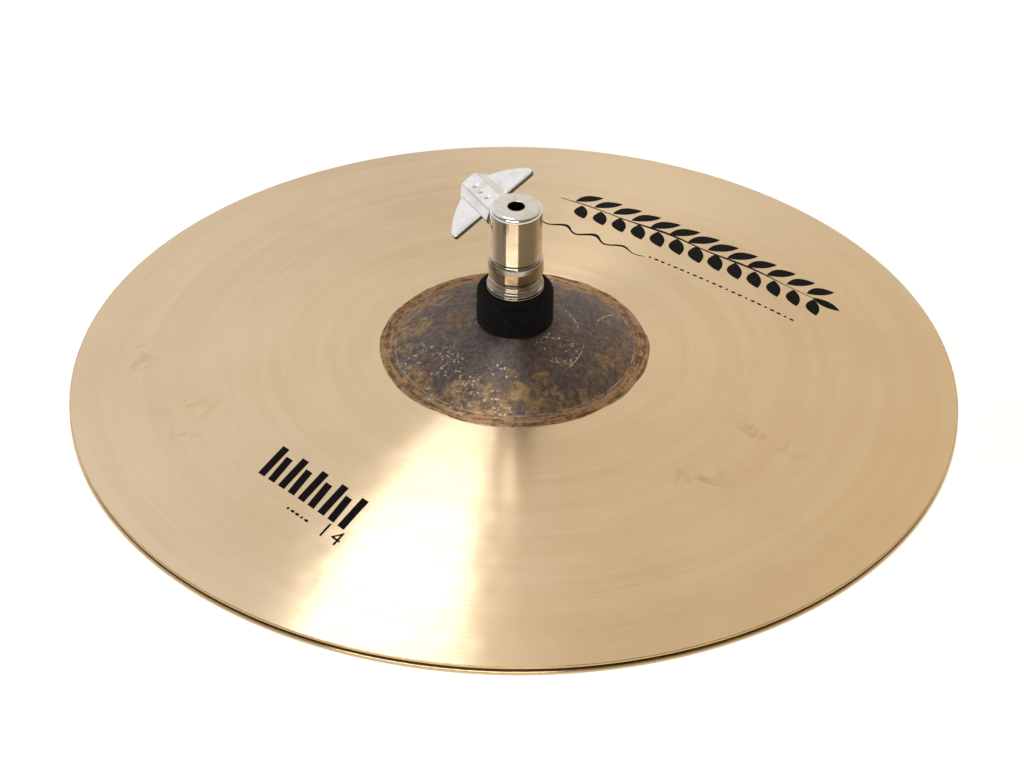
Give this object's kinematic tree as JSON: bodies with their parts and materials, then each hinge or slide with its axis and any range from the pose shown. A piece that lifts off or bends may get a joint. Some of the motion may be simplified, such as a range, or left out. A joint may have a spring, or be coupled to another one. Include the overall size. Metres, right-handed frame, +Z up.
{
  "type": "hi-hat cymbal pair with clutch",
  "caption": "Closed pair of lathed bronze hi-hat cymbals with a plated clutch, felts, locking nuts and a wing screw on top.",
  "frame": {"origin": "centre of the bottom cymbal's hole at its lowest edge, where a stand's seat carries the pair", "axes": "+Z up along the pull rod's bore, the axis of both cymbals; the front of the pictured view is -Y and its right is +X"},
  "size_m": [0.3556, 0.3556, 0.1301],
  "materials": {
    "lathed_bronze": "satin",
    "polished_plating": "polished",
    "cast_plating": "satin",
    "threaded_steel": "satin",
    "black_felt": "matte",
    "black_ink": "matte",
    "white_nylon": "satin"
  },
  "bodies": {
    "bottom_cymbal": {"bottom_cymbal": "lathed_bronze"},
    "clutch": {"clutch_head": "polished_plating", "clutch_tube": "threaded_steel", "hole_sleeve": "white_nylon", "upper_felt": "black_felt"},
    "top_cymbal": {"top_cymbal": "lathed_bronze"},
    "clamp_slug": {"clamp_slug": "threaded_steel"},
    "wing_screw": {"wing_handle": "cast_plating", "wing_stud": "threaded_steel"},
    "felt_washer": {"upper_washer": "polished_plating"},
    "adjusting_nut": {"adjusting_nut": "polished_plating"},
    "lock_nut": {"lock_nut": "polished_plating"},
    "lower_felt": {"lower_felt": "black_felt", "lower_washer": "threaded_steel"},
    "bottom_nut": {"bottom_nut": "polished_plating", "lock_ring": "white_nylon"}
  },
  "joints": [
    {"name": "open_slide", "type": "slide", "parent": "bottom_cymbal", "child": "clutch", "axis": [0, 0, 1], "range_m": [0, 0.04]},
    {"name": "top_cymbal_spin", "type": "hinge", "parent": "clutch", "child": "top_cymbal", "pos_m": [0, 0, 0.075], "axis": [0, 0, 1], "continuous": true},
    {"name": "slug_slide", "type": "slide", "parent": "clutch", "child": "clamp_slug", "axis": [-0.515, 0.8572, 0], "range_m": [-0.001, 0.004]},
    {"name": "wing_turn", "type": "hinge", "parent": "clamp_slug", "child": "wing_screw", "pos_m": [0, 0, 0.11933], "axis": [-0.515, 0.8572, 0], "range_deg": [-360, 1440]},
    {"name": "washer_slide", "type": "slide", "parent": "clutch", "child": "felt_washer", "axis": [0, 0, 1], "range_m": [-0.003, 0], "deforming": ["upper_felt"]},
    {"name": "adjust_turn", "type": "hinge", "parent": "felt_washer", "child": "adjusting_nut", "pos_m": [0, 0, 0.094], "axis": [0, 0, 1], "range_deg": [-1080, 0]},
    {"name": "lock_nut_turn", "type": "hinge", "parent": "felt_washer", "child": "lock_nut", "pos_m": [0, 0, 0.101], "axis": [0, 0, 1], "range_deg": [-1080, 0]},
    {"name": "lower_felt_slide", "type": "slide", "parent": "clutch", "child": "lower_felt", "axis": [0, 0, 1], "range_m": [-0.008, 0]},
    {"name": "bottom_nut_turn", "type": "hinge", "parent": "lower_felt", "child": "bottom_nut", "pos_m": [0, 0, 0.061], "axis": [0, 0, 1], "range_deg": [-2880, 0]}
  ],
  "couplings": [
    {"joint": "wing_turn", "follows": "slug_slide", "rad_per_m": 6283.2},
    {"joint": "adjust_turn", "follows": "washer_slide", "rad_per_m": 6283.2},
    {"joint": "lock_nut_turn", "follows": "washer_slide", "rad_per_m": 6283.2},
    {"joint": "bottom_nut_turn", "follows": "lower_felt_slide", "rad_per_m": 6283.2}
  ]
}
